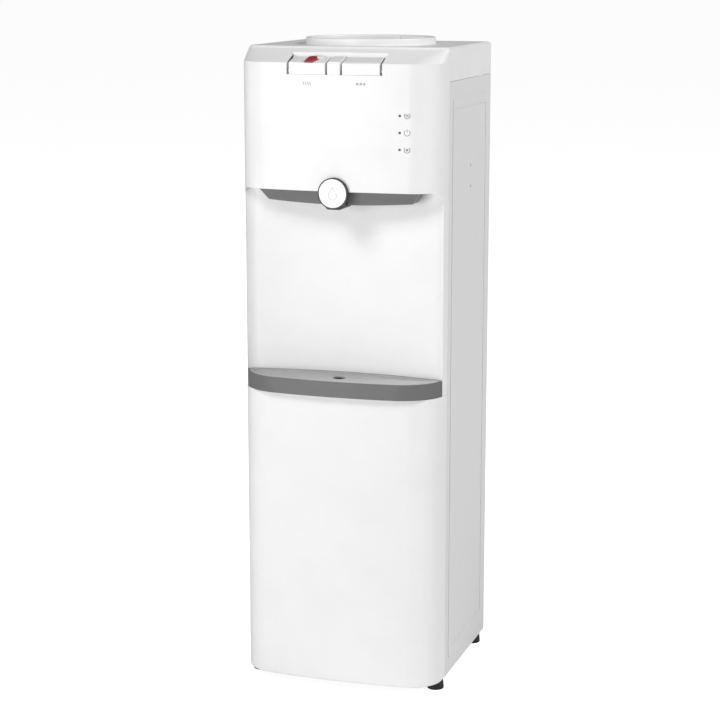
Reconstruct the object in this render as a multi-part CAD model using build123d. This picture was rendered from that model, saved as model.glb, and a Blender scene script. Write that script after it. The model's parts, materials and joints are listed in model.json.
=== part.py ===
from build123d import *
import math
import os

# Floor-standing bottled-water dispenser, hot and cold, as an assembly of separate pieces.
# Millimetres, +Z up. The origin is on the floor, in the middle of the width and of the whole depth.
# The front faces -Y. One STEP file is written for each piece.

# ---------------------------------------------------------------- driving dimensions
WIDTH = 310.0            # cabinet width over the side panels
SIDE_DEPTH = 240.0       # side panels and rear screws, behind the vertical seam
FRONT_DEPTH = 67.5       # crown of the moulded front, ahead of the seam
TRAY_PROUD = 12.5        # front of the drip tray, ahead of the moulded front
FOOT_HEIGHT = 15.0       # levelling feet under the cabinet
LOWER_HEIGHT = 446.5     # lower front panel
NICHE_HEIGHT = 304.0     # glass space above the tray shelf
FASCIA_HEIGHT = 184.7    # button fascia, up to the crease
BEVEL_RISE = 21.8        # sloping shoulder from the crease to the flat top
COVER_SKIRT = 49.0       # drop of the top cover's rim below the flat top, on sides and back

FRONT_CROWN = 11.0       # how far the front bows forward at the middle
FRONT_CORNER = 48.0      # vertical corner radius of the front
MOULD_WALL = 3.0         # moulded ABS walls
SHEET = 1.0              # steel side panels
PAN_SHEET = 1.2          # steel base, shelf and rear panel
SEAM = 0.5               # visible gap between neighbouring covers
FRONT_GAP = 0.9          # visible gap between the two front panels
TOUCH = 0.2              # clearance between fixed neighbours
SLIP = 0.3               # clearance around pieces that move
PIVOT = 0.05             # radial clearance of pins and shafts
SCREW_PROUD = 1.0        # height of the low screw heads

NICHE_WALL_SETBACK = 3.0     # middle of the niche wall, ahead of the seam
NICHE_HOLLOW = 13.4          # depth of the wall's concave bow
NICHE_LIP = 15.0             # width of the flared strip at each end of the wall
NICHE_LIP_REACH = 24.0       # how far ahead of the seam the flare ends
NICHE_EDGE = 1.0             # thin edge of the side strip beside the glass space
NICHE_TOP_RADIUS = 14.0
SHOULDER_SETBACK = 42.0      # how far the flat top starts behind the crease
SHOULDER_CROWN = 17.0
SHOULDER_CORNER = 14.0
TOP_EDGE = 3.0

COLLAR_SETBACK = 110.0   # bottle axis behind the seam
COLLAR_RADIUS = 98.5
COLLAR_WALL = 6.0
COLLAR_HEIGHT = 10.0

NOTCH_HALF = 72.5        # button opening, from the middle to its end
NOTCH_DEPTH = 32.5       # button opening, from the front to its back wall
NOTCH_DROP = 16.7        # button opening, below the crease
BUTTON_INNER = 13.0
BUTTON_OUTER = 69.0
DIVIDER_HALF = 9.5
BUTTON_DEPTH = 27.5
BUTTON_SLOPE = 16.2      # degrees, top of the buttons
BUTTON_WALL = 2.5
BUTTON_TRAVEL = 8.0      # degrees
HINGE_SETBACK = 8.0      # button axis behind the front
HINGE_RISE = 5.0         # button axis above the opening's lower edge
HINGE_PIN = 1.5
ROD_X = 26.0
ROD_SETBACK = 24.0       # push rods behind the front
ROD_RADIUS = 2.5
ROD_HEAD = 5.0
ROD_GAP = 0.8            # between the button's boss and the rod's head, at rest
LATCH_LEFT = 44.5
LATCH_WIDTH = 15.0
LATCH_THICK = 2.6
LATCH_SHORT = 4.0        # bare strip of the button behind the latch
LATCH_TRAVEL = 6.0

SPOUT_Z_BELOW = 2.1      # centre of the spout disc below the fascia's lower edge
DISC_RADIUS = 22.75
CAP_RADIUS = 21.0
DISC_PROUD = 6.4
SPOUT_HALF = 13.5
SPOUT_DROP = 26.5
SPOUT_BACK = 46.5        # depth of the spout block behind the front
CHIN_TOP_HALF = 124.0
CHIN_LOW_HALF = 107.8
CHIN_DROP = 21.8         # lowest point of the chin, in the middle
CHIN_ARCH = 3.8          # rise of its lower edge from the middle to the ends
CHIN_SETBACK = 21.5      # middle of the chin's lower edge behind the front
CHIN_SWEEP = 8.0         # how far its lower edge falls back towards the ends
CHIN_TOP_SWEEP = 4.0     # the same at its upper edge
CHIN_FLARE = 6.0         # how far its upper edge stands ahead of the lower one
CHIN_WALL = 2.5
NOZZLE_X = 6.5
NOZZLE_BORE = 3.0
NOZZLE_SOCKET = 1.5      # wider step at the nozzle's mouth

TRAY_HEIGHT = 24.0
TRAY_WALL = 4.2
TRAY_RIM = 2.4
COVER_THICK = 2.6
COVER_BORDER = 9.0
DRAIN_HOLE = 9.5
DRAIN_SETBACK = 35.0     # drain hole behind the tray's front

BEAD_MARGIN = 17.0       # raised bead on the side panels
BEAD_WIDTH = 16.5
BEAD_PROUD = 1.2
BEAD_FOOT = 24.0
BEAD_TOP = 26.0
PANEL_LIP = 6.0          # turned-in lower edge of a side panel, clear of the foot studs

FOOT_RADIUS = 13.0
FOOT_STUD = 4.0
FOOT_INSET = 12.5        # foot axis from the side
FOOT_FRONT = 7.0         # front foot axis ahead of the seam
FOOT_REAR = 27.0         # rear foot axis ahead of the back

REAR_RECESS = 23.0       # rear panel behind the side panels' rear edges
REAR_OPEN_TOP = 300.0    # open compressor bay below this height
COLD_RADIUS = 78.0
COLD_HEIGHT = 128.0
FOAM_WALL = 15.0
COIL_TUBE = 3.0
COIL_PITCH = 21.0
HOT_RADIUS = 60.0
HOT_HEIGHT = 145.0
HOT_SETBACK = 15.0       # hot tank axis behind the bottle axis
JACKET_WALL = 12.0
SHELF_DROP = 20.3        # middle shelf below the fascia's lower edge
SHELF_FLANGE = 55.0
TUBE_RADIUS = 4.5
COMPRESSOR_RADIUS = 72.0
COMPRESSOR_HEIGHT = 170.0

LED_X = 98.3
LED_RADIUS = 1.8
LED_PITCH = 24.2
LED_TOP_BELOW = 73.1     # first lamp below the crease
SWITCH_INSET = (59.0, 33.0)   # rear switches, from the cabinet's side
SWITCH_HALF_WIDTH = 7.0
SWITCH_HALF_HEIGHT = 10.0
ROCKER_TILT = 8.0        # degrees, either way
ROCKER_PIVOT = 2.2       # round boss on the rocker's axis
GLAND_INSET = 43.0       # cord gland, from the cabinet's side
GLAND_RISE = 235.0       # cord gland above the rear panel's lower edge
SERVICE_STUB = 8.0       # radius of the drain stub and the gland
CONDENSER_INSET = 37.0   # ends of the condenser runs, from the cabinet's side
CONDENSER_TUBE = 2.5
CONDENSER_WIRE = 0.9
CONDENSER_PITCH = 36.0
CONDENSER_RUNS = 12
CONDENSER_FOOT = 60.0    # first condenser run above the cabinet's lower edge

# ---------------------------------------------------------------- levels and planes
HALF = WIDTH / 2
TRAY_REACH = FRONT_DEPTH + TRAY_PROUD
BACK_Y = (SIDE_DEPTH + TRAY_REACH) / 2
SEAM_Y = BACK_Y - SIDE_DEPTH
FRONT_Y = SEAM_Y - FRONT_DEPTH
PANEL_BACK = BACK_Y - SCREW_PROUD
SHELF_Z = FOOT_HEIGHT + LOWER_HEIGHT
NICHE_TOP = SHELF_Z + NICHE_HEIGHT
CREASE_Z = NICHE_TOP + FASCIA_HEIGHT
TOP_Z = CREASE_Z + BEVEL_RISE
SIDE_TOP = TOP_Z - COVER_SKIRT
WALL_Y = SEAM_Y - NICHE_WALL_SETBACK
COLLAR_Y = SEAM_Y + COLLAR_SETBACK
REAR_Y = PANEL_BACK - REAR_RECESS
NOTCH_LOW = CREASE_Z - NOTCH_DROP
NOTCH_BACK = FRONT_Y + NOTCH_DEPTH
HINGE_Y = FRONT_Y + HINGE_SETBACK
HINGE_Z = NOTCH_LOW + HINGE_RISE
ROD_Y = FRONT_Y + ROD_SETBACK
MID_SHELF_Z = NICHE_TOP - SHELF_DROP
COLD_FLOOR = MID_SHELF_Z + PAN_SHEET + FOAM_WALL + 10.0
COLD_TOP = COLD_FLOOR + COLD_HEIGHT
FOAM_RADIUS = COLD_RADIUS + 2 * COIL_TUBE + FOAM_WALL + 1.0
HOT_Y = COLLAR_Y + HOT_SETBACK
HOT_TOP = MID_SHELF_Z - 40.0
HOT_FLOOR = HOT_TOP - HOT_HEIGHT
MANIFOLD_Z = NICHE_TOP + MOULD_WALL + TOUCH
BASE_Z = FOOT_HEIGHT + SHEET
SPOUT_Z = NICHE_TOP - SPOUT_Z_BELOW
SWITCH_X = [HALF - inset for inset in SWITCH_INSET]
GLAND_X = GLAND_INSET - HALF
CONDENSER_HALF = HALF - CONDENSER_INSET


# ---------------------------------------------------------------- small helpers
def block(x0, x1, y0, y1, z0, z1):
    """Box between two corners."""
    centre = Pos((x0 + x1) / 2, (y0 + y1) / 2, (z0 + z1) / 2)
    return centre * Box(x1 - x0, y1 - y0, z1 - z0)


def post(radius, z0, z1, x=0.0, y=0.0):
    """Cylinder that stands along Z."""
    return Pos(x, y, (z0 + z1) / 2) * Cylinder(radius, z1 - z0)


def rod_y(radius, y0, y1, x, z):
    """Cylinder that lies along Y."""
    return Pos(x, (y0 + y1) / 2, z) * Rot(90, 0, 0) * Cylinder(radius, y1 - y0)


def rod_x(radius, x0, x1, y, z):
    """Cylinder that lies along X."""
    return Pos((x0 + x1) / 2, y, z) * Rot(0, 90, 0) * Cylinder(radius, x1 - x0)


def prism(face, z0, z1):
    """Upright prism on a face drawn at z = 0."""
    return Pos(0, 0, z0) * extrude(face, z1 - z0)


def side_prism(points, x0, x1):
    """Prism along X whose section is a list of (y, z) points."""
    corners = [(x0, y, z) for y, z in points]
    return extrude(make_face(Polyline(*corners, close=True)), x1 - x0, dir=(1, 0, 0))


def both_sides(piece):
    """The piece and its mirror image across the middle plane."""
    return [piece, mirror(piece, Plane.YZ)]


def group(solids):
    """Several separate solids kept as one node."""
    return Compound(children=[s for item in solids for s in item.solids()])


def only_solid(shape):
    """The single solid of a shape that must have just one."""
    solids = shape.solids()
    return max(solids, key=lambda s: s.volume) if len(solids) > 1 else solids[0]


def save(shape, node):
    """Write one piece and report it."""
    export_step(shape, "parts/" + node + ".step")
    print(node, len(shape.solids()))


# ---------------------------------------------------------------- plan outlines
def bowed_plan(front_y, crown, corner, back_y, inset=0.0):
    """Rectangle with a bowed front and rounded front corners, drawn at z = 0."""
    radius = HALF ** 2 / (2 * crown) + crown / 2
    centre_y = front_y + radius
    half = HALF - inset
    side_y = centre_y - math.sqrt((radius - inset) ** 2 - half ** 2)
    bow = ThreePointArc((-half, side_y), (0, front_y + inset), (half, side_y))
    rest = Polyline((half, side_y), (half, back_y), (-half, back_y), (-half, side_y))
    face = make_face(bow.edges() + rest.edges())
    return fillet(face.vertices().group_by(Axis.Y)[0], corner - inset)


def front_plan(back_y, inset=0.0):
    """Outline shared by the lower panel, the fascia and the top cover."""
    return bowed_plan(FRONT_Y, FRONT_CROWN, FRONT_CORNER, back_y, inset)


def shoulder_plan(back_y, inset=0.0):
    """Outline of the flat top, where the shoulder ends."""
    return bowed_plan(FRONT_Y + SHOULDER_SETBACK, SHOULDER_CROWN, SHOULDER_CORNER, back_y, inset)


def niche_arc_y(x, shift=0.0):
    """Depth of the concave niche wall at a place across the width."""
    half = HALF - NICHE_LIP
    radius = half ** 2 / (2 * NICHE_HOLLOW) + NICHE_HOLLOW / 2
    return WALL_Y + shift - radius + math.sqrt(radius ** 2 - x ** 2)


def niche_plan(shift=0.0, front_y=None):
    """Region ahead of the concave niche wall, moved back by shift."""
    half = HALF - NICHE_LIP
    start_y = niche_arc_y(half, shift)
    slope = -half / (half ** 2 / (2 * NICHE_HOLLOW) + NICHE_HOLLOW / 2)
    lip_y = SEAM_Y - NICHE_LIP_REACH + shift
    ahead = FRONT_Y - 40.0 if front_y is None else front_y
    wall = ThreePointArc((-half, start_y), (0, WALL_Y + shift), (half, start_y))
    lip = TangentArc((half, start_y), (HALF, lip_y), tangent=(1, slope))
    lip_left = mirror(lip, Plane.YZ)
    rest = Polyline((HALF, lip_y), (HALF, ahead), (-HALF, ahead), (-HALF, lip_y))
    return make_face(wall.edges() + lip.edges() + lip_left.edges() + rest.edges())


def niche_space(grow=0.0):
    """The hollow for the glass, grown by a wall thickness on every side but the floor."""
    region = prism(niche_plan(grow), SHELF_Z - 5, NICHE_TOP + grow + 5)
    half = HALF - NICHE_EDGE + grow
    window = Rectangle(2 * half, NICHE_HEIGHT + grow + 200)
    window = fillet(window.vertices(), NICHE_TOP_RADIUS + grow)
    centre_z = NICHE_TOP + grow - (NICHE_HEIGHT + grow + 200) / 2
    opening = extrude(Plane.XZ * window, 200, both=True)
    return region & (Pos(0, 0, centre_z) * opening)


# ---------------------------------------------------------------- cabinet
def base_plate():
    inset = MOULD_WALL + SLIP
    back = PANEL_BACK - SHEET - TOUCH
    pan = prism(front_plan(back, inset), BASE_Z, BASE_Z + 22)
    inner = prism(front_plan(back - PAN_SHEET, inset + PAN_SHEET), BASE_Z + PAN_SHEET, BASE_Z + 30)
    pan = pan - inner
    for x, y in foot_places():
        pan = pan + post(FOOT_STUD + 3.5, BASE_Z + PAN_SHEET, BASE_Z + 14, x, y)
        pan = pan - post(FOOT_STUD + PIVOT, BASE_Z - 5, BASE_Z + 20, x, y)
    return only_solid(pan)


def foot_places():
    x = HALF - FOOT_INSET
    front = SEAM_Y - FOOT_FRONT
    rear = BACK_Y - FOOT_REAR
    return [(-x, front), (x, front), (-x, rear), (x, rear)]


def levelling_foot(x, y):
    top = FOOT_HEIGHT - SLIP
    pad = Pos(x, y, top / 2) * Cone(FOOT_RADIUS, FOOT_RADIUS - 1.2, top)
    pad = chamfer(pad.edges().group_by(Axis.Z)[0], 0.8)
    return only_solid(pad + post(FOOT_STUD, top - 1, BASE_Z + 19, x, y))


def bead_frame():
    """Raised frame on the outer face of the right side panel."""
    z0 = FOOT_HEIGHT + BEAD_FOOT
    z1 = SIDE_TOP - BEAD_TOP
    y0 = SEAM_Y + BEAD_MARGIN
    y1 = PANEL_BACK - BEAD_MARGIN + 3.0
    centre = Pos(HALF, (y0 + y1) / 2, (z0 + z1) / 2)
    outer = fillet(Rectangle(y1 - y0, z1 - z0).vertices(), 9.0)
    inner = fillet(Rectangle(y1 - y0 - 2 * BEAD_WIDTH, z1 - z0 - 2 * BEAD_WIDTH).vertices(), 5.0)
    bead = extrude(Plane.YZ * (outer - inner), BEAD_PROUD)
    bead = fillet(bead.edges().group_by(Axis.X)[-1], BEAD_PROUD * 0.8)
    return centre * bead


def side_panel():
    """Right side panel: one bent and embossed steel sheet."""
    y0 = SEAM_Y + SEAM
    x_in = HALF - SHEET
    z1 = SIDE_TOP - SEAM
    plate = block(x_in, HALF, y0, PANEL_BACK, FOOT_HEIGHT, z1)
    plate = plate + block(x_in - 12, x_in, y0, y0 + SHEET, FOOT_HEIGHT + 26, z1)
    plate = plate + block(x_in - 13, x_in, PANEL_BACK - SHEET, PANEL_BACK, FOOT_HEIGHT + 26, z1)
    plate = plate + block(x_in - PANEL_LIP, x_in, SEAM_Y + 12, PANEL_BACK - 12,
                          FOOT_HEIGHT, FOOT_HEIGHT + SHEET)
    plate = plate + bead_frame()
    for z in side_screw_levels():
        plate = plate - rod_x(1.6, x_in - 2, HALF + 2, side_screw_y(), z)
    return only_solid(plate)


def side_screw_y():
    return COLLAR_Y + 12.5


def side_screw_levels():
    return [MID_SHELF_Z + 14.5, MID_SHELF_Z + 46.3]


def side_screws():
    screws = []
    for z in side_screw_levels():
        head = Pos(HALF + SCREW_PROUD / 2, side_screw_y(), z) * Rot(0, 90, 0) * Cylinder(2.6, SCREW_PROUD)
        head = fillet(head.edges().group_by(Axis.X)[-1], 0.6)
        shank = rod_x(1.5, HALF - 6, HALF, side_screw_y(), z)
        screws += both_sides(head + shank)
    return group(screws)


def rear_panel():
    """Recessed rear panel with returns, cooling slots and service holes."""
    half = HALF - SHEET - TOUCH
    z1 = SIDE_TOP - 3.0
    panel = block(-half, half, REAR_Y - PAN_SHEET, REAR_Y, REAR_OPEN_TOP, z1)
    for side in (-1, 1):
        x0, x1 = sorted((side * half, side * (half - PAN_SHEET)))
        panel = panel + block(x0, x1, REAR_Y - PAN_SHEET, PANEL_BACK - SHEET - TOUCH, REAR_OPEN_TOP, z1)
    slot = Plane.XZ * SlotOverall(64, 4.5)
    for column in (-80, 0, 80):
        for row in range(6):
            place = Pos(column, REAR_Y + 5, REAR_OPEN_TOP + 330 + 11 * row)
            panel = panel - place * extrude(slot, 10, both=True)
    panel = panel - rod_y(SERVICE_STUB + TOUCH, REAR_Y - 5, REAR_Y + 5, 0, drain_z())
    panel = panel - rod_y(SERVICE_STUB + TOUCH, REAR_Y - 5, REAR_Y + 5, GLAND_X, gland_z())
    wide = SWITCH_HALF_WIDTH + TOUCH
    tall = SWITCH_HALF_HEIGHT + TOUCH
    for x in SWITCH_X:
        low, high = switch_z() - tall, switch_z() + tall
        panel = panel - block(x - wide, x + wide, REAR_Y - 5, REAR_Y + 5, low, high)
    return only_solid(panel)


def drain_z():
    return HOT_FLOOR - 30.0


def gland_z():
    return REAR_OPEN_TOP + GLAND_RISE


def switch_z():
    return SIDE_TOP - 43.0


def switch_bezels():
    bezels = []
    z = switch_z()
    wide, tall = SWITCH_HALF_WIDTH, SWITCH_HALF_HEIGHT
    for x in SWITCH_X:
        body = block(x - wide, x + wide, REAR_Y - 16, REAR_Y + TOUCH, z - tall, z + tall)
        rim = block(x - wide - 2, x + wide + 2, REAR_Y + TOUCH, REAR_Y + 2, z - tall - 2, z + tall + 2)
        rim = chamfer(rim.edges().group_by(Axis.Y)[-1], 0.6)
        well = block(x - wide + 1.5, x + wide - 1.5, REAR_Y - 8, REAR_Y + 6, z - tall + 1.5, z + tall - 1.5)
        bezels.append(body + rim - well)
    return group(bezels)


def rocker(x):
    """Rocker of one rear switch, resting with its upper end pressed in."""
    z = switch_z()
    tall = SWITCH_HALF_HEIGHT - 1.5 - 3 * SLIP
    wide = SWITCH_HALF_WIDTH - 1.5 - SLIP
    arm = [(-2.5, -tall), (2.6, -tall), (0.9, 0.0), (2.6, tall), (-2.5, tall)]
    outline = [(REAR_Y + 1.5 + dy, z + dz) for dy, dz in arm]
    body = side_prism(outline, x - wide, x + wide)
    body = body + rod_x(ROCKER_PIVOT, x - wide, x + wide, REAR_Y - 0.5, z)
    return only_solid(body.rotate(Axis((x, REAR_Y - 0.5, z), (1, 0, 0)), -ROCKER_TILT))


def lower_front_panel():
    outer = prism(front_plan(SEAM_Y), FOOT_HEIGHT, SHELF_Z)
    outer = fillet(outer.edges().filter_by(lambda e: e.center().Z < FOOT_HEIGHT + 0.1
                                           and e.center().Y < SEAM_Y - 1), 2.0)
    inner = prism(front_plan(SEAM_Y + 5, MOULD_WALL), FOOT_HEIGHT - 5, SHELF_Z - MOULD_WALL)
    return only_solid(outer - inner)


# ---------------------------------------------------------------- upper front and top
def notch_cut(z_low):
    """Opening for the buttons, through the front and the shoulder."""
    return block(-NOTCH_HALF, NOTCH_HALF, FRONT_Y - 10, NOTCH_BACK, z_low, TOP_Z + 10)


def upper_front_panel():
    z0 = SHELF_Z + FRONT_GAP
    outer = prism(front_plan(SEAM_Y), z0, CREASE_Z)
    space = niche_space()
    inner = prism(front_plan(SEAM_Y + 5, MOULD_WALL), z0 - 5, CREASE_Z + 5)
    inner = inner - niche_space(MOULD_WALL)
    panel = outer - space - inner - notch_cut(NOTCH_LOW)
    for z in led_levels():
        panel = panel - rod_y(LED_RADIUS + TOUCH / 2, FRONT_Y - 5, FRONT_Y + 20, LED_X, z)
    well = block(-SPOUT_HALF + 3, SPOUT_HALF - 3, FRONT_Y + 12, FRONT_Y + SPOUT_BACK - 6,
                 NICHE_TOP - 1, NICHE_TOP + MOULD_WALL + 1)
    return only_solid(panel - well)


def led_levels():
    return [CREASE_Z - LED_TOP_BELOW - LED_PITCH * k for k in range(3)]


def led_face_y():
    radius = HALF ** 2 / (2 * FRONT_CROWN) + FRONT_CROWN / 2
    return FRONT_Y + radius - math.sqrt(radius ** 2 - LED_X ** 2)


def led_lenses():
    lenses = []
    for z in led_levels():
        lens = rod_y(LED_RADIUS, led_face_y() - 0.5, led_face_y() + 8, LED_X, z)
        lenses.append(fillet(lens.edges().group_by(Axis.Y)[0], 0.8))
    return group(lenses)


def led_board():
    z0, z1 = led_levels()[-1] - 14, led_levels()[0] + 14
    y = led_face_y() + 8 + TOUCH
    return block(LED_X - 16, LED_X + 12, y, y + 1.6, z0, z1)


def top_cover():
    """Shoulder, flat top and rim in one moulding, open below."""
    low = Pos(0, 0, CREASE_Z) * front_plan(PANEL_BACK)
    edge = Pos(0, 0, TOP_Z - TOP_EDGE) * shoulder_plan(PANEL_BACK)
    flat = Pos(0, 0, TOP_Z) * shoulder_plan(PANEL_BACK - TOP_EDGE, TOP_EDGE)
    outer = loft([low, edge], ruled=True) + loft([edge, flat], ruled=True)
    outer = outer + block(-HALF, HALF, SEAM_Y, PANEL_BACK, SIDE_TOP, CREASE_Z)
    wall = MOULD_WALL
    low_in = Pos(0, 0, CREASE_Z) * front_plan(PANEL_BACK - wall, wall)
    edge_in = Pos(0, 0, TOP_Z - wall) * shoulder_plan(PANEL_BACK - wall, wall + 1.5)
    inner = loft([low_in, edge_in], ruled=True)
    inner = inner + block(-HALF + wall, HALF - wall, SEAM_Y - 1, PANEL_BACK - wall, SIDE_TOP - 5, CREASE_Z)
    cover = outer - inner - post(COLLAR_RADIUS - COLLAR_WALL, TOP_Z - 20, TOP_Z + 5, 0, COLLAR_Y)
    return only_solid(cover - notch_cut(CREASE_Z - 5))


def bottle_collar():
    ring = post(COLLAR_RADIUS, TOP_Z, TOP_Z + COLLAR_HEIGHT, 0, COLLAR_Y)
    ring = ring - post(COLLAR_RADIUS - COLLAR_WALL, TOP_Z - 1, TOP_Z + COLLAR_HEIGHT + 1, 0, COLLAR_Y)
    ring = fillet(ring.edges().group_by(Axis.Z)[-1], 2.0)
    for angle in (80.0, 200.0, 320.0):
        lug = block(COLLAR_RADIUS - COLLAR_WALL - 3.0, COLLAR_RADIUS - COLLAR_WALL + 1.5, -3.5, 3.5,
                    TOP_Z + 2, TOP_Z + COLLAR_HEIGHT - 2)
        ring = ring + Pos(0, COLLAR_Y, 0) * Rot(0, 0, angle) * lug
    return only_solid(ring)


def bottle_funnel():
    """Lift-out funnel that guides the bottle neck."""
    rim = COLLAR_RADIUS - COLLAR_WALL - 3.5
    wall = 2.5
    floor = COLD_TOP + 5 + TOUCH
    neck = 36.0
    top = TOP_Z + 1.0
    cone = TOP_Z - 20.0
    points = [(neck, floor), (rim, cone), (rim, top), (rim - wall, top), (rim - wall, cone + 1),
              (neck - wall, floor + 3), (neck - wall, floor + wall), (11, floor + wall), (11, floor)]
    face = make_face(Polyline(*[(r, 0, z) for r, z in points], close=True))
    return Pos(0, COLLAR_Y, 0) * only_solid(revolve(face, Axis.Z))


def bottle_probe():
    """Hollow spike that opens the bottle cap's valve."""
    z0 = COLD_TOP + 5 + TOUCH
    stem = post(10.8, z0, z0 + 46, 0, COLLAR_Y)
    stem = fillet(stem.edges().group_by(Axis.Z)[-1], 6.0)
    flange = post(20.0, z0 + 2.5 + TOUCH, z0 + 5.5, 0, COLLAR_Y)
    probe = stem + flange - post(6.5, z0 - 1, z0 + 34, 0, COLLAR_Y)
    for angle in (0, 90):
        window = block(-15, 15, -3, 3, z0 + 20, z0 + 32)
        probe = probe - Pos(0, COLLAR_Y, 0) * Rot(0, 0, angle) * window
    return only_solid(probe)


# ---------------------------------------------------------------- buttons and valves
def button_blank(x0, x1, lower):
    """Solid under the shared front curve and the sloping button top."""
    rise = math.tan(math.radians(BUTTON_SLOPE))
    y1 = FRONT_Y + BUTTON_DEPTH
    outline = [(FRONT_Y - 5, lower), (FRONT_Y - 5, CREASE_Z - 5 * rise),
               (y1, CREASE_Z + BUTTON_DEPTH * rise), (y1, lower)]
    return side_prism(outline, x0, x1) & prism(front_plan(SEAM_Y), CREASE_Z - 60, CREASE_Z + 60)


def push_button():
    """Right-hand button: a shell that tilts back about a pin behind its lower edge."""
    lower = NOTCH_LOW + SLIP
    shell = button_blank(BUTTON_INNER, BUTTON_OUTER, lower)
    wall = BUTTON_WALL
    hollow = Pos(0, wall, -wall) * button_blank(BUTTON_INNER + wall, BUTTON_OUTER - wall, lower - 5)
    hollow = hollow & block(-HALF, HALF, FRONT_Y, FRONT_Y + BUTTON_DEPTH - wall, lower - 5, TOP_Z)
    shell = shell - hollow
    shell = shell - block(-HALF, HALF, HINGE_Y + 6, SEAM_Y, lower - 5, HINGE_Z + 7)
    shell = shell + rod_x(HINGE_PIN + 2, BUTTON_INNER, BUTTON_INNER + 8, HINGE_Y, HINGE_Z)
    shell = shell + rod_x(HINGE_PIN + 2, BUTTON_OUTER - 8, BUTTON_OUTER, HINGE_Y, HINGE_Z)
    boss_top = CREASE_Z + (ROD_SETBACK - 4) * math.tan(math.radians(BUTTON_SLOPE)) - 1
    shell = shell + post(3.0, rod_top() + ROD_GAP, boss_top, ROD_X, ROD_Y)
    return only_solid(shell - rod_x(HINGE_PIN + PIVOT, 0, HALF, HINGE_Y, HINGE_Z))


def rod_top():
    return CREASE_Z - 6.0


def latch_place():
    """Plane of the button top, at the middle of the latch."""
    slope = math.radians(BUTTON_SLOPE)
    mid = BUTTON_DEPTH / 2
    z = CREASE_Z + mid * math.tan(slope)
    return Plane(origin=(-LATCH_LEFT + LATCH_WIDTH / 2, FRONT_Y + mid, z), x_dir=(1, 0, 0),
                 z_dir=(0, -math.sin(slope), math.cos(slope)))


def hot_button():
    button = mirror(push_button(), Plane.YZ)
    keyway = Box(LATCH_WIDTH / 2 + 2 * SLIP + LATCH_TRAVEL, 4 + 2 * SLIP, 12)
    return only_solid(button - latch_place().location * Pos(LATCH_TRAVEL / 2, 0, -2) * keyway)


def child_lock_latch():
    """Red sliding latch with cut corners and a keel that runs in the button's keyway."""
    half = LATCH_WIDTH / 2
    depth = BUTTON_DEPTH / 2 / math.cos(math.radians(BUTTON_SLOPE)) - 0.6
    back = depth - LATCH_SHORT
    outline = Polyline((-half, -depth), (half - 3, -depth), (half, -depth + 8), (half, back - 8),
                       (half - 3, back), (-half + 3, back), (-half, back - 5), close=True)
    plate = extrude(make_face(outline), LATCH_THICK)
    plate = fillet(plate.edges().group_by(Axis.Z)[-1], 0.9)
    keel = Pos(0, 0, -1.6) * Box(half, 4, 3.4)
    return only_solid(latch_place().location * Pos(0, 0, SLIP) * (plate + keel))


def button_divider():
    """Fixed block between the two buttons."""
    blank = button_blank(-DIVIDER_HALF, DIVIDER_HALF, NOTCH_LOW + TOUCH)
    cap = Pos(0, 0, 1.0) * blank & block(-HALF, HALF, FRONT_Y + 2.0, SEAM_Y, NOTCH_LOW + 5, TOP_Z)
    divider = blank + cap
    return only_solid(divider - rod_x(HINGE_PIN + PIVOT, -HALF, HALF, HINGE_Y, HINGE_Z))


def button_well():
    """White moulded trough behind the buttons, which carries the hinge pin."""
    wall = 2.0
    end = NOTCH_HALF + wall + TOUCH
    low = NOTCH_LOW - 4
    front = FRONT_Y + MOULD_WALL + 3.2
    trough = block(-end, end, front, NOTCH_BACK + wall, low, CREASE_Z - TOUCH)
    back = block(-NOTCH_HALF + TOUCH, NOTCH_HALF - TOUCH, NOTCH_BACK - TOUCH - wall, NOTCH_BACK - TOUCH,
                 CREASE_Z - 4, CREASE_Z + 14.2)
    half = NOTCH_HALF + TOUCH
    inner = block(-half, half, front - 1, NOTCH_BACK - TOUCH - wall, low + wall, TOP_Z)
    trough = trough - inner + back
    trough = trough - rod_x(HINGE_PIN, -HALF, HALF, HINGE_Y, HINGE_Z)
    for x in (-ROD_X, ROD_X):
        trough = trough - post(ROD_RADIUS + PIVOT, low - 5, low + 5, x, ROD_Y)
    return only_solid(trough)


def hinge_pin():
    end = NOTCH_HALF + 2.0 + TOUCH
    return rod_x(HINGE_PIN - 0.02, -end, end, HINGE_Y, HINGE_Z)


def valve_body(x):
    """Tap valve that stands on the manifold, with a hose barb to the rear."""
    z0 = MANIFOLD_Z + 12
    body = post(11.0, z0, z0 + 34, x, ROD_Y)
    body = body + post(14.0, z0 + 14, z0 + 20, x, ROD_Y)
    body = body + rod_y(3.6, ROD_Y, ROD_Y + 31, x, barb_z())
    body = body - post(ROD_RADIUS + PIVOT, z0 + 20, z0 + 40, x, ROD_Y)
    return only_solid(body - rod_y(2.2, ROD_Y + 8, ROD_Y + 40, x, barb_z()))


def barb_z():
    return MANIFOLD_Z + 20.0


def push_rod(x):
    z0 = MANIFOLD_Z + 12 + 20 + 5
    rod = post(ROD_RADIUS, z0, rod_top(), x, ROD_Y)
    head = Pos(x, ROD_Y, rod_top() - 1.5) * Cylinder(ROD_HEAD, 3)
    head = fillet(head.edges().group_by(Axis.Z)[-1], 1.0)
    return only_solid(rod + head + post(7.0, spring_top(), spring_top() + 2, x, ROD_Y))


def spring_low():
    return MANIFOLD_Z + 12 + 34


def spring_top():
    return spring_low() + 20.0


def return_spring(x):
    """Compression spring between the valve and the rod's collar."""
    wire = 0.6
    path = Helix(pitch=3.4, height=spring_top() - spring_low() - 2 * wire - 0.4, radius=4.6)
    section = (path ^ 0) * Circle(wire)
    return Pos(x, ROD_Y, spring_low() + wire + 0.2) * sweep(section, path, is_frenet=True)


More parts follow.
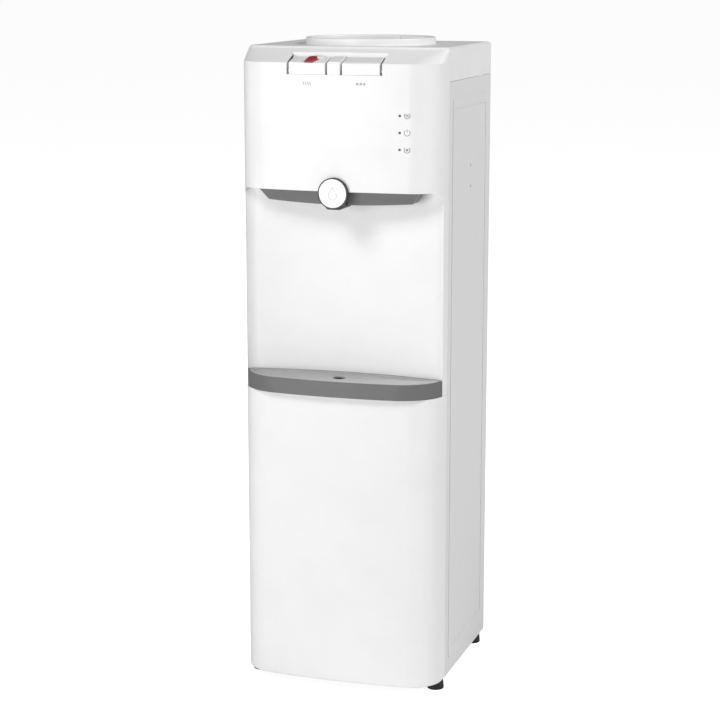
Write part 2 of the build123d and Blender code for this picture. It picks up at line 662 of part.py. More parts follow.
def manifold():
    y0 = ROD_Y - 14
    body = block(-ROD_X - 13, ROD_X + 13, y0, ROD_Y + 14, MANIFOLD_Z, MANIFOLD_Z + 12)
    body = fillet(body.edges().filter_by(Axis.Z), 4.0)
    for x in (-NOZZLE_X, NOZZLE_X):
        body = body - post(NOZZLE_BORE, MANIFOLD_Z - 5, MANIFOLD_Z + 6, x, ROD_Y)
    return only_solid(body)


# ---------------------------------------------------------------- spout
def spout_body():
    z0 = NICHE_TOP - SPOUT_DROP
    z1 = NICHE_TOP - TOUCH
    body = block(-SPOUT_HALF, SPOUT_HALF, FRONT_Y + 0.2, FRONT_Y + SPOUT_BACK, z0, z1)
    body = fillet(body.edges().group_by(Axis.Z)[0].filter_by(Axis.Y), 6.0)
    neck = block(-SPOUT_HALF + 3.5, SPOUT_HALF - 3.5, FRONT_Y + 12.5, FRONT_Y + SPOUT_BACK - 6.5,
                 z1 - 1, NICHE_TOP + MOULD_WALL)
    body = body + neck
    for x in (-NOZZLE_X, NOZZLE_X):
        body = body - post(NOZZLE_BORE + NOZZLE_SOCKET, z0 - 5, z0 + 7, x, ROD_Y)
        body = body - post(NOZZLE_BORE, z0 - 5, NICHE_TOP + 20, x, ROD_Y)
    return only_solid(body)


def spout_ring():
    y0 = FRONT_Y - DISC_PROUD + 0.4
    ring = rod_y(DISC_RADIUS, y0, FRONT_Y - TOUCH, 0, SPOUT_Z)
    ring = ring - rod_y(CAP_RADIUS + 0.15, y0 - 1, y0 + 4.0, 0, SPOUT_Z)
    notch = block(-1.2, 1.2, y0 - 1, y0 + 1.2, SPOUT_Z - DISC_RADIUS - 1, SPOUT_Z - CAP_RADIUS + 1)
    return only_solid(ring - notch)


def spout_cap():
    y0 = FRONT_Y - DISC_PROUD
    cap = rod_y(CAP_RADIUS, y0, y0 + 4.2, 0, SPOUT_Z)
    cap = fillet(cap.edges().group_by(Axis.Y)[0], 0.8)
    notch = Pos(0, y0, SPOUT_Z - CAP_RADIUS) * Rot(90, 0, 0) * Cylinder(1.4, 2.0)
    return only_solid(cap - notch)


def chin_plan(half, flare, sweep, inset):
    """Lens between the niche wall and a bowed front, cut off at both ends."""
    half = half - inset
    gap = TOUCH + inset
    mid_y = FRONT_Y + CHIN_SETBACK - flare + inset
    end_y = mid_y + sweep
    back_y = niche_arc_y(half, -gap)
    back = ThreePointArc((-half, back_y), (0, WALL_Y - gap), (half, back_y))
    front = ThreePointArc((-half, end_y), (0, mid_y), (half, end_y))
    left = Line((-half, back_y), (-half, end_y))
    right = Line((half, back_y), (half, end_y))
    return make_face(back.edges() + front.edges() + left.edges() + right.edges())


def chin_arch(z0):
    """Everything above the chin's arched lower face."""
    half = CHIN_TOP_HALF + 10.0
    rise = CHIN_ARCH * (half / CHIN_LOW_HALF) ** 2
    top = z0 + 3 * CHIN_DROP
    lower = ThreePointArc((-half, z0 + rise), (0, z0), (half, z0 + rise))
    sides = Polyline((half, z0 + rise), (half, top), (-half, top), (-half, z0 + rise))
    profile = make_face(lower.edges() + sides.edges())
    return extrude(Plane.XZ * profile, 200.0, both=True)


def chin_block(z0, z1, inset):
    low = Pos(0, 0, z0) * chin_plan(CHIN_LOW_HALF, 0.0, CHIN_SWEEP, inset)
    high = Pos(0, 0, z1) * chin_plan(CHIN_TOP_HALF, CHIN_FLARE, CHIN_TOP_SWEEP, inset)
    return loft([low, high], ruled=True) & chin_arch(z0)


def spout_housing():
    """Grey chin under the fascia: a tapered shell with a gap for the spout block."""
    z0 = NICHE_TOP - CHIN_DROP
    z1 = NICHE_TOP - TOUCH
    outer = chin_block(z0, z1, 0.0)
    outer = fillet(outer.faces().sort_by(Axis.Z)[0].edges(), 2.0)
    chin = outer - chin_block(z0 + CHIN_WALL, z1 + CHIN_WALL, CHIN_WALL)
    half = SPOUT_HALF + TOUCH
    gap = block(-half, half, FRONT_Y, FRONT_Y + SPOUT_BACK + TOUCH, z0 - 5, z1 + 5)
    return only_solid(chin - gap)


# ---------------------------------------------------------------- drip tray
def tray_plan():
    """Lens outline of the drip tray: concave back, bowed front, pointed ends."""
    mid = HALF - 60.0
    end_x = HALF - 2.0
    end_y = SEAM_Y - NICHE_LIP_REACH - 1.0
    crown = 5.7
    radius = mid ** 2 / (2 * crown) + crown / 2
    front_y = SEAM_Y - TRAY_REACH
    front = ThreePointArc((-mid, front_y + crown), (0, front_y), (mid, front_y + crown))
    turn = TangentArc((mid, front_y + crown), (end_x, end_y), tangent=(radius - crown, mid))
    rest = Polyline((end_x, end_y), (end_x, SEAM_Y), (-end_x, SEAM_Y), (-end_x, end_y))
    region = make_face(front.edges() + turn.edges() + mirror(turn, Plane.YZ).edges() + rest.edges())
    return region & niche_plan(-SEAM)


def drip_tray():
    z0 = SHELF_Z + SLIP
    z1 = z0 + TRAY_HEIGHT - SLIP
    plan = tray_plan()
    tray = prism(plan, z0, z1)
    tray = tray - prism(offset(plan, -TRAY_WALL), z0 + TRAY_WALL, z1 + 5)
    tray = tray - prism(offset(plan, -TRAY_RIM), z1 - COVER_THICK - 0.1, z1 + 5)
    lower = tray.edges().filter_by(lambda e: abs(e.center().Z - z0) < 0.05 and e.center().Y < SEAM_Y - 40)
    return only_solid(fillet(lower, 1.0))


def drip_cover():
    """Lift-off cover of the tray, with one round drain hole and a finger slot."""
    z1 = SHELF_Z + TRAY_HEIGHT
    plan = tray_plan()
    plate = prism(offset(plan, -TRAY_RIM - SLIP), z1 - COVER_THICK, z1)
    plate = plate - prism(offset(plan, -TRAY_RIM - COVER_BORDER), z1 - 0.6, z1 + 5)
    y = SEAM_Y - TRAY_REACH + DRAIN_SETBACK
    plate = plate - post(DRAIN_HOLE, z1 - 10, z1 + 10, 0, y)
    slot = Pos(-HALF + 18, SEAM_Y - 38, z1) * Rot(0, 0, -50) * extrude(SlotOverall(8, 2.4), 10, both=True)
    return only_solid(plate - slot)


# ---------------------------------------------------------------- water and heating
def middle_shelf():
    half = HALF - SHEET - TOUCH
    y0 = SEAM_Y + 18
    y1 = REAR_Y - PAN_SHEET - TOUCH
    shelf = block(-half, half, y0, y1, MID_SHELF_Z, MID_SHELF_Z + PAN_SHEET)
    for side in (-1, 1):
        x0, x1 = sorted((side * half, side * (half - PAN_SHEET)))
        flange = block(x0, x1, y0, y1, MID_SHELF_Z, MID_SHELF_Z + SHELF_FLANGE)
        for z in side_screw_levels():
            flange = flange - rod_x(1.6, x0 - 2, x1 + 2, side_screw_y(), z)
        shelf = shelf + flange
    for x, y in ((ROD_X, cold_out_y()), (0, feed_y())):
        shelf = shelf - post(TUBE_RADIUS + 2, MID_SHELF_Z - 5, MID_SHELF_Z + 5, x, y)
    return only_solid(shelf)


def cold_out_y():
    return COLLAR_Y - 30


def feed_y():
    return COLLAR_Y + 40


def cold_tank():
    tank = post(COLD_RADIUS, COLD_FLOOR, COLD_TOP, 0, COLLAR_Y)
    tank = fillet(tank.edges().group_by(Axis.Z)[0], 8.0)
    tank = tank - post(COLD_RADIUS - 1.2, COLD_FLOOR + 1.2, COLD_TOP + 5, 0, COLLAR_Y)
    return only_solid(tank)


def cold_tank_lid():
    z0 = COLD_TOP + TOUCH
    lid = post(COLD_RADIUS + 4, z0, COLD_TOP + 5, 0, COLLAR_Y)
    lid = lid - post(7.0, z0 - 5, z0 + 20, 0, COLLAR_Y)
    return only_solid(lid)


def evaporator_coil():
    radius = COLD_RADIUS + COIL_TUBE + 0.3
    path = Helix(pitch=COIL_PITCH, height=COLD_HEIGHT - 45, radius=radius)
    section = (path ^ 0) * Circle(COIL_TUBE)
    return Pos(0, COLLAR_Y, COLD_FLOOR + 20) * sweep(section, path, is_frenet=True)


def foam_jacket():
    """Moulded foam bucket around the cold tank and its coil."""
    z0 = MID_SHELF_Z + PAN_SHEET
    foam = post(FOAM_RADIUS, z0, COLD_TOP - 6, 0, COLLAR_Y)
    foam = fillet(foam.edges().group_by(Axis.Z)[-1], 4.0)
    foam = foam - post(FOAM_RADIUS - FOAM_WALL, COLD_FLOOR - TOUCH, COLD_TOP + 5, 0, COLLAR_Y)
    for x, y in ((ROD_X, cold_out_y()), (0, feed_y())):
        foam = foam - post(TUBE_RADIUS + 0.5, z0 - 5, COLD_FLOOR + 5, x, y)
    return only_solid(foam)


def hot_tank():
    tank = post(HOT_RADIUS, HOT_FLOOR, HOT_TOP, 0, HOT_Y)
    tank = fillet(tank.edges().group_by(Axis.Z)[0] + tank.edges().group_by(Axis.Z)[-1], 10.0)
    inner = post(HOT_RADIUS - 1.5, HOT_FLOOR + 1.5, HOT_TOP - 1.5, 0, HOT_Y)
    return only_solid(tank - fillet(inner.edges().filter_by(GeomType.CIRCLE), 8.5))


def heater_band():
    z0 = HOT_FLOOR + 25
    band = post(HOT_RADIUS + 2.2, z0, z0 + 42, 0, HOT_Y) - post(HOT_RADIUS + 0.1, z0 - 1, z0 + 50, 0, HOT_Y)
    return only_solid(band - block(-2, 2, HOT_Y, HOT_Y + 90, z0 - 1, z0 + 50))


def hot_jacket():
    inner = HOT_RADIUS + 2.6
    ring = post(inner + JACKET_WALL, HOT_FLOOR + 12, HOT_TOP - 12, 0, HOT_Y)
    return only_solid(ring - post(inner, HOT_FLOOR, HOT_TOP, 0, HOT_Y))


def hot_bracket():
    """Two straps that hang the hot tank from the middle shelf."""
    straps = []
    reach = HOT_RADIUS + 2.6 + JACKET_WALL + TOUCH
    for side in (-1, 1):
        x0, x1 = sorted((side * reach, side * (reach + 1.5)))
        strap = block(x0, x1, HOT_Y - 14, HOT_Y + 14, HOT_FLOOR - TOUCH - 1.5, MID_SHELF_Z - TOUCH)
        f0, f1 = sorted((side * reach, side * (reach + 16)))
        flange_top = MID_SHELF_Z - TOUCH
        strap = strap + block(f0, f1, HOT_Y - 14, HOT_Y + 14, flange_top - 1.5, flange_top)
        h0, h1 = sorted((side * (reach + 1.5), side * (HOT_RADIUS - 22)))
        hook_top = HOT_FLOOR - TOUCH
        straps.append(strap + block(h0, h1, HOT_Y - 14, HOT_Y + 14, hook_top - 1.5, hook_top))
    return group(straps)


def thermostats():
    z0 = HOT_TOP + TOUCH
    return group([post(8.0, z0, z0 + 7, x, HOT_Y - 20) + post(11.0, z0, z0 + 1.0, x, HOT_Y - 20)
                  for x in (12.0, 40.0)])


def swept_tube(points, bend, radius):
    path = FilletPolyline(*points, radius=bend)
    section = (path ^ 0) * Circle(radius)
    return only_solid(sweep(section, path))


def tube_front_y():
    return SEAM_Y + 7.0


def valve_tube_start(x):
    return [(x, ROD_Y + 31.2, barb_z()), (x, tube_front_y(), barb_z()), (x, tube_front_y(), HOT_TOP + 21)]


def hot_water_tube():
    points = valve_tube_start(-ROD_X)
    points += [(-ROD_X, HOT_Y, HOT_TOP + 21), (-ROD_X, HOT_Y, HOT_TOP + TOUCH)]
    return swept_tube(points, 9.0, TUBE_RADIUS)


def cold_water_tube():
    points = valve_tube_start(ROD_X)
    points += [(ROD_X, cold_out_y(), HOT_TOP + 21), (ROD_X, cold_out_y(), COLD_FLOOR - TOUCH)]
    return swept_tube(points, 9.0, TUBE_RADIUS)


def feed_tube():
    return post(TUBE_RADIUS, HOT_TOP + TOUCH, COLD_FLOOR - TOUCH, 0, feed_y())


def drain_tube():
    points = [(0, HOT_Y, HOT_FLOOR - TOUCH), (0, HOT_Y, drain_z()), (0, REAR_Y - 20.2, drain_z())]
    return swept_tube(points, 12.0, TUBE_RADIUS)


def drain_fitting():
    stub = rod_y(SERVICE_STUB, REAR_Y - 20, REAR_Y + 10, 0, drain_z())
    nut = rod_y(12.0, REAR_Y - PAN_SHEET - TOUCH - 6, REAR_Y - PAN_SHEET - TOUCH, 0, drain_z())
    flange = rod_y(12.0, REAR_Y + TOUCH, REAR_Y + 2.2, 0, drain_z())
    return only_solid(stub + nut + flange - rod_y(4.0, REAR_Y - 16, REAR_Y + 20, 0, drain_z()))


def drain_cap():
    """Screw cap over the drain stub, with finger ribs."""
    cap = rod_y(12.5, REAR_Y + 2.6, REAR_Y + 14.5, 0, drain_z())
    cap = fillet(cap.edges().group_by(Axis.Y)[-1], 1.5)
    cap = cap - rod_y(SERVICE_STUB + PIVOT, REAR_Y, REAR_Y + 10.5, 0, drain_z())
    for k in range(12):
        angle = math.radians(30 * k)
        x = 13.0 * math.cos(angle)
        z = drain_z() + 13.0 * math.sin(angle)
        cap = cap - rod_y(1.2, REAR_Y, REAR_Y + 20, x, z)
    return only_solid(cap)


def cord_gland():
    z = gland_z()
    body = rod_y(SERVICE_STUB, REAR_Y - 12, REAR_Y + 12, GLAND_X, z)
    body = body + rod_y(11.5, REAR_Y + TOUCH, REAR_Y + 3, GLAND_X, z)
    body = body + rod_y(11.5, REAR_Y - PAN_SHEET - TOUCH - 5, REAR_Y - PAN_SHEET - TOUCH, GLAND_X, z)
    return only_solid(body - rod_y(3.8, REAR_Y - 20, REAR_Y + 20, GLAND_X, z))


def control_box():
    x0 = -HALF + 12
    y1 = REAR_Y - PAN_SHEET - TOUCH
    box = block(x0, x0 + 48, y1 - 70, y1, HOT_FLOOR + 5, HOT_FLOOR + 125)
    box = fillet(box.edges().filter_by(Axis.Y), 4.0)
    return only_solid(box)


# ---------------------------------------------------------------- refrigeration
def compressor_y():
    return SEAM_Y + 125.0


def compressor_base():
    return BASE_Z + PAN_SHEET + 16.0


def compressor():
    z0 = compressor_base() + 4
    shell = post(COMPRESSOR_RADIUS, z0, z0 + COMPRESSOR_HEIGHT, 0, compressor_y())
    shell = fillet(shell.edges().filter_by(GeomType.CIRCLE), 26.0)
    seam = post(COMPRESSOR_RADIUS + 3, z0 + COMPRESSOR_HEIGHT * 0.55, z0 + COMPRESSOR_HEIGHT * 0.55 + 4,
                0, compressor_y())
    plate = block(-96, 96, compressor_y() - 52, compressor_y() + 52, compressor_base(), z0 + 1)
    plate = fillet(plate.edges().filter_by(Axis.Z), 14.0)
    stubs = [rod_x(3.5, COMPRESSOR_RADIUS - 10, COMPRESSOR_RADIUS + 14, compressor_y(), z)
             for z in (discharge_z(), discharge_z() + 36)]
    body = shell + seam + plate + stubs[0] + stubs[1]
    for x, y in mount_places():
        body = body - post(5.2, z0 - 20, z0 + 10, x, y)
    return only_solid(body)


def discharge_z():
    return compressor_base() + 62.0


def mount_places():
    return [(x, compressor_y() + y) for x in (-82, 82) for y in (-38, 38)]


def compressor_mounts():
    """Rubber grommets between the base and the compressor's plate."""
    z0 = BASE_Z + PAN_SHEET
    mounts = []
    for x, y in mount_places():
        top = compressor_base()
        grommet = post(11.0, z0, top - TOUCH, x, y) + post(5.0, z0, top + 9, x, y)
        mounts.append(grommet)
    return group(mounts)


def condenser_y():
    return REAR_Y + 13.0


def condenser_levels():
    return [FOOT_HEIGHT + CONDENSER_FOOT + CONDENSER_PITCH * k for k in range(CONDENSER_RUNS)]


def condenser_tube():
    """Serpentine tube across the back."""
    points = []
    for k, z in enumerate(condenser_levels()):
        ends = (-CONDENSER_HALF, CONDENSER_HALF) if k % 2 == 0 else (CONDENSER_HALF, -CONDENSER_HALF)
        points += [(x, condenser_y(), z) for x in ends]
    return swept_tube(points, CONDENSER_PITCH / 2 - 2, CONDENSER_TUBE)


def condenser_wires():
    """Cooling wires welded behind the serpentine."""
    y = condenser_y() + CONDENSER_TUBE + CONDENSER_WIRE + 0.02
    z0, z1 = condenser_levels()[0] - 12, condenser_levels()[-1] + 12
    pitch = 8.0
    count = int(2 * (CONDENSER_HALF - 14) // pitch)
    wires = [post(CONDENSER_WIRE, z0, z1, (k - count / 2) * pitch, y) for k in range(count + 1)]
    half = count * pitch / 2 + 4
    bars = [rod_x(CONDENSER_WIRE * 0.98, -half, half, y, z) for z in (z0 + 3, z1 - 3)]
    grid = wires[0].fuse(*wires[1:], *bars)
    return only_solid(grid)


def condenser_brackets():
    """Clips from the serpentine's bends to the side panels' rear flanges."""
    clips = []
    for k in (1, 5, 9):
        z = condenser_levels()[k] + CONDENSER_PITCH / 2
        x0 = CONDENSER_HALF + CONDENSER_TUBE + TOUCH
        x1 = HALF - SHEET - PAN_SHEET - 2 * TOUCH
        y = condenser_y()
        arm = block(x0, x1, y - 0.8, y + 0.8, z - 7, z + 7)
        foot = block(x1 - 10.6, x1, y - 0.8, PANEL_BACK - SHEET - TOUCH, z - 7, z + 7)
        clips += both_sides(arm + foot)
    return group(clips)


def rear_screws():
    """Low-head screws that hold the side panels' rear flanges."""
    screws = []
    half = HALF - SHEET - 6.5
    for z in (SIDE_TOP - 40, (SIDE_TOP + REAR_OPEN_TOP) / 2, REAR_OPEN_TOP + 25, FOOT_HEIGHT + 40):
        head = rod_y(3.2, PANEL_BACK, BACK_Y, half, z)
        screws += both_sides(fillet(head.edges().group_by(Axis.Y)[-1], 0.6))
    return group(screws)


# ---------------------------------------------------------------- write the pieces
def main():
    os.makedirs("parts", exist_ok=True)
    right = side_panel()
    pieces = {
        "base_plate": base_plate(),
        "side_panel_right": right,
        "side_panel_left": mirror(right, Plane.YZ),
        "rear_panel": rear_panel(),
        "panel_screws": group([side_screws(), rear_screws()]),
        "lower_front_panel": lower_front_panel(),
        "upper_front_panel": upper_front_panel(),
        "top_cover": top_cover(),
        "bottle_collar": bottle_collar(),
        "bottle_funnel": bottle_funnel(),
        "bottle_probe": bottle_probe(),
        "button_well": button_well(),
        "button_divider": button_divider(),
        "button_hinge_pin": hinge_pin(),
        "cold_button": push_button(),
        "hot_button": hot_button(),
        "child_lock_latch": child_lock_latch(),
        "hot_push_rod": push_rod(-ROD_X),
        "cold_push_rod": push_rod(ROD_X),
        "hot_return_spring": return_spring(-ROD_X),
        "cold_return_spring": return_spring(ROD_X),
        "hot_valve": valve_body(-ROD_X),
        "cold_valve": valve_body(ROD_X),
        "spout_manifold": manifold(),
        "spout_body": spout_body(),
        "spout_ring": spout_ring(),
        "spout_cap": spout_cap(),
        "spout_housing": spout_housing(),
        "led_lenses": led_lenses(),
        "led_board": led_board(),
        "drip_tray": drip_tray(),
        "drip_cover": drip_cover(),
        "middle_shelf": middle_shelf(),
        "cold_tank": cold_tank(),
        "cold_tank_lid": cold_tank_lid(),
        "evaporator_coil": evaporator_coil(),
        "foam_jacket": foam_jacket(),
        "hot_tank": hot_tank(),
        "heater_band": heater_band(),
        "hot_jacket": hot_jacket(),
        "hot_tank_bracket": hot_bracket(),
        "thermostats": thermostats(),
        "hot_water_tube": hot_water_tube(),
        "cold_water_tube": cold_water_tube(),
        "service_tubes": group([feed_tube(), drain_tube()]),
        "drain_fitting": drain_fitting(),
        "drain_cap": drain_cap(),
        "cord_gland": cord_gland(),
        "control_box": control_box(),
        "switch_bezels": switch_bezels(),
        "heat_switch_rocker": rocker(SWITCH_X[0]),
        "cool_switch_rocker": rocker(SWITCH_X[1]),
        "compressor": compressor(),
        "compressor_mounts": compressor_mounts(),
        "condenser": group([condenser_tube(), condenser_wires()]),
        "condenser_brackets": condenser_brackets(),
    }
    corners = ("front_left", "front_right", "rear_left", "rear_right")
    for corner, place in zip(corners, foot_places()):
        pieces["foot_" + corner] = levelling_foot(*place)
    for node, shape in pieces.items():
        save(shape, node)


if __name__ == "__main__":
    main()
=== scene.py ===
# %% [markdown]
# # A bottle water dispenser, lit and finished
#
# The cabinet, buttons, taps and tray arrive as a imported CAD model. This notebook gives each of
# them the finish of the real part, adds the prints and the fine ribs that the CAD leaves out, and
# sets up a plain studio. Lengths are in metres, +Z is up and the front faces -Y.

# %% Load the frame
import json
import math

import bmesh
import bpy
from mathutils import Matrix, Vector


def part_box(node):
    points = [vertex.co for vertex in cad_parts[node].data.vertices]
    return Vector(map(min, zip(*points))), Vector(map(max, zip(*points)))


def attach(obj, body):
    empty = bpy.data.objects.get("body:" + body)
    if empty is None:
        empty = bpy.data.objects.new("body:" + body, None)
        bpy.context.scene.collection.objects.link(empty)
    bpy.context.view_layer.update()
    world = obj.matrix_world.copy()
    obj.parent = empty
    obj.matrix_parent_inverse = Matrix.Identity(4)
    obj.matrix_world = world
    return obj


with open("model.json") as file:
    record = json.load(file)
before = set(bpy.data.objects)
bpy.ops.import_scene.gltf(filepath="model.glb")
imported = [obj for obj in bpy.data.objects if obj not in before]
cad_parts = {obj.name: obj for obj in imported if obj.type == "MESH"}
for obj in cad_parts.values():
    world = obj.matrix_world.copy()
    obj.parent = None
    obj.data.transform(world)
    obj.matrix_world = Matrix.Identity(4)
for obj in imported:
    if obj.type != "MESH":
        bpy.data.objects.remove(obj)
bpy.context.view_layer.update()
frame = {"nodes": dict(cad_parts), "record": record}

MM = 0.001
NODES = frame["nodes"]

# %% [markdown]
# ## The camera
#
# A long lens far away keeps the cabinet's edges nearly parallel, as in a catalogue picture. The
# camera stands to the right of the front, a little above the top, and looks down by 11 degrees.

# %% Camera
CAMERA_PLACE = (0.90925, -2.82559, 1.09044)
LOOK_DOWN = 11.48
LOOK_LEFT = 17.98
LENS = 97.607

bpy.ops.object.camera_add(
    location=CAMERA_PLACE, rotation=(math.radians(90 - LOOK_DOWN), 0, math.radians(LOOK_LEFT))
)
camera = bpy.context.object
camera.name = "camera"
camera.data.lens = LENS
camera.data.sensor_width = 36.0
camera.data.clip_end = 200
bpy.context.scene.camera = camera

# %% [markdown]
# ## Colours and nodes
#
# A hex colour is stored for a screen (sRGB), and the shader wants linear light, so one function
# turns one into the other. Every material is a small tree of nodes. One more function adds a node
# with its settings and its links, and two others open and close a finish.

# %% Helpers for materials
def linear(hex_colour):
    """Linear red, green, blue and alpha from an sRGB hex colour."""
    channels = [int(hex_colour[i : i + 2], 16) / 255 for i in (1, 3, 5)]
    return (*[c / 12.92 if c <= 0.04045 else ((c + 0.055) / 1.055) ** 2.4 for c in channels], 1.0)


def add_node(tree, kind, links=(), values=(), stops=(), **settings):
    """Adds a node and gives it back.

    links maps an input to a socket, or to a node whose first output is meant. values maps an
    input to a constant. stops are (position, sRGB hex) for a colour ramp. The rest are settings.
    """
    made = tree.nodes.new(kind)
    for name, value in settings.items():
        setattr(made, name, value)
    for name, value in dict(values).items():
        made.inputs[name].default_value = value
    for name, source in dict(links).items():
        socket = source.outputs[0] if isinstance(source, bpy.types.Node) else source
        tree.links.new(socket, made.inputs[name])
    for _ in stops[2:]:
        made.color_ramp.elements.new(0.5)
    for index, (position, colour) in enumerate(stops):
        made.color_ramp.elements[index].position = position
        made.color_ramp.elements[index].color = linear(colour)
    return made


def start_finish(name):
    """A new material in FINISHES, empty but for its output: its node tree and its place."""
    material = bpy.data.materials.new(name)
    material.use_nodes = True
    material.node_tree.nodes.clear()
    place = add_node(material.node_tree, "ShaderNodeTexCoord").outputs["Object"]
    FINISHES[name] = material
    return material.node_tree, place


def end_finish(tree, colour, rough, height, depth_mm, **surface):
    """Joins a colour, a roughness and a raised height to one Principled surface."""
    links = {}
    if height is not None:
        raised = {"Distance": depth_mm * MM, "Strength": 1.0}
        links["Normal"] = add_node(tree, "ShaderNodeBump", {"Height": height}, raised)
    if rough is not None:
        links["Roughness"] = rough
    links["Base Color"] = colour
    shader = add_node(tree, "ShaderNodeBsdfPrincipled", links, surface)
    add_node(tree, "ShaderNodeOutputMaterial", {"Surface": shader})
    return shader


# The middle of a noise, where most of it lies: a Map Range turns it into a span of roughness.
NOISE_MIDDLE = {"From Min": 0.3, "From Max": 0.7}
FINISHES = {}

# %% [markdown]
# ## Moulded plastics
#
# The front, the top and the buttons are ABS, moulded in steel tools. A polished tool gives a
# satin, nearly even skin, and an eroded one a fine grain. Under the skin the plastic flows and
# cools unevenly, so its gloss and colour drift a little over some centimetres. The real grain is
# about 0.1 mm and would not show, so it is drawn at 0.3 to 0.6 mm.

# %% Moulded plastics
def moulded_plastic(name, darker, lighter, gloss, grain_mm, grain_depth_mm, ior=1.53):
    """ABS or acetal: slow drift of colour and gloss, with the tool's grain on top."""
    tree, place = start_finish(name)
    slow = {"Scale": 1 / (60 * MM), "Detail": 3, "Roughness": 0.5}
    drift = add_node(tree, "ShaderNodeTexNoise", {"Vector": place}, slow)
    span = [(0.3, darker), (0.7, lighter)]
    colour = add_node(tree, "ShaderNodeValToRGB", {"Fac": drift}, stops=span)
    fine = {"Scale": 1 / (grain_mm * MM), "Detail": 3, "Roughness": 0.6}
    grain = add_node(tree, "ShaderNodeTexNoise", {"Vector": place}, fine)
    wiped = {"Scale": 1 / (14 * MM), "Detail": 4, "Roughness": 0.5}
    smears = add_node(tree, "ShaderNodeTexNoise", {"Vector": place}, wiped)
    limits = {**NOISE_MIDDLE, "To Min": gloss - 0.03, "To Max": gloss + 0.04}
    rough = add_node(tree, "ShaderNodeMapRange", {"Value": smears}, limits)
    end_finish(tree, colour, rough, grain, grain_depth_mm, IOR=ior)


moulded_plastic("white_abs", "#f2f2f2", "#f5f5f5", 0.38, 0.5, 0.006)
moulded_plastic("white_gloss_abs", "#fafafa", "#fcfcfc", 0.16, 0.5, 0.002)
moulded_plastic("dark_grey_abs", "#6c6c6c", "#707070", 0.48, 0.6, 0.014)
moulded_plastic("light_grey_abs", "#b4b4b4", "#b8b8b8", 0.45, 0.6, 0.012)
moulded_plastic("mid_grey_abs", "#757575", "#797979", 0.45, 0.5, 0.010)
moulded_plastic("black_abs", "#1c1c1d", "#212122", 0.42, 0.5, 0.010)
moulded_plastic("red_abs", "#960a13", "#9e0e18", 0.30, 0.5, 0.004)
moulded_plastic("green_abs", "#2f7d3c", "#368543", 0.30, 0.5, 0.004)
moulded_plastic("natural_acetal", "#e6e4da", "#ecebe3", 0.40, 0.5, 0.004, ior=1.48)
print("moulded plastics:", len(FINISHES))

# %% [markdown]
# ## Painted metals
#
# The side panels are steel, powder coated. A powder coat never lies quite flat: it melts into a
# faint orange peel some 2 mm across, and the pigment leaves a fine speckle in the colour.

# %% Painted metals
def powder_coat(name, darker, lighter, gloss, peel_mm, peel_depth_mm):
    """Paint on steel: an orange peel, and a fine speckle in the colour."""
    tree, place = start_finish(name)
    pigment = {"Scale": 1 / (1.2 * MM), "Detail": 2, "Roughness": 0.5}
    speckle = add_node(tree, "ShaderNodeTexNoise", {"Vector": place}, pigment)
    span = [(0.35, darker), (0.65, lighter)]
    colour = add_node(tree, "ShaderNodeValToRGB", {"Fac": speckle}, stops=span)
    handled = {"Scale": 1 / (25 * MM), "Detail": 3, "Roughness": 0.5}
    patches = add_node(tree, "ShaderNodeTexNoise", {"Vector": place}, handled)
    limits = {**NOISE_MIDDLE, "To Min": gloss - 0.03, "To Max": gloss + 0.04}
    rough = add_node(tree, "ShaderNodeMapRange", {"Value": patches}, limits)
    waves = {"Scale": 1 / (peel_mm * MM), "Detail": 1, "Roughness": 0.5}
    peel = add_node(tree, "ShaderNodeTexNoise", {"Vector": place}, waves)
    end_finish(tree, colour, rough, peel, peel_depth_mm, IOR=1.5)


powder_coat("coated_steel", "#e4e4e5", "#e7e7e8", 0.42, 2.2, 0.010)
powder_coat("coated_screws", "#cfcfd0", "#d8d8d9", 0.32, 1.0, 0.006)
powder_coat("black_painted_steel", "#141415", "#1c1c1d", 0.34, 1.6, 0.012)
print("finishes so far:", len(FINISHES))

# %% [markdown]
# ## Galvanised sheet
#
# The base pan and the brackets are dipped in zinc, which freezes into flat crystals about 9 mm
# across. A Voronoi pattern draws them, and each takes its own shade and gloss from its colour.

# %% Galvanised sheet
tree, place = start_finish("galvanised_steel")
crystals = add_node(tree, "ShaderNodeTexVoronoi", {"Vector": place}, {"Scale": 1 / (9 * MM)})
shade = add_node(tree, "ShaderNodeSeparateColor", {"Color": crystals.outputs["Color"]})
zinc = [(0.0, "#9aa0a3"), (1.0, "#c3c8ca")]
colour = add_node(tree, "ShaderNodeValToRGB", {"Fac": shade.outputs["Red"]}, stops=zinc)
limits = {**NOISE_MIDDLE, "To Min": 0.34, "To Max": 0.5}
rough = add_node(tree, "ShaderNodeMapRange", {"Value": shade.outputs["Green"]}, limits)
drops = {"Scale": 1 / (3 * MM), "Detail": 4, "Roughness": 0.5}
runs = add_node(tree, "ShaderNodeTexNoise", {"Vector": place}, drops)
end_finish(tree, colour, rough, runs, 0.01, Metallic=1.0)
print("zinc crystals, mm:", 9)

# %% [markdown]
# ## Bare metals
#
# Stainless steel, spring wire and copper tube are drawn through dies, which leaves fine lines
# along the metal. A Mapping node stretches a noise into those lines. Handling and heat leave
# patches of tarnish a few centimetres across.

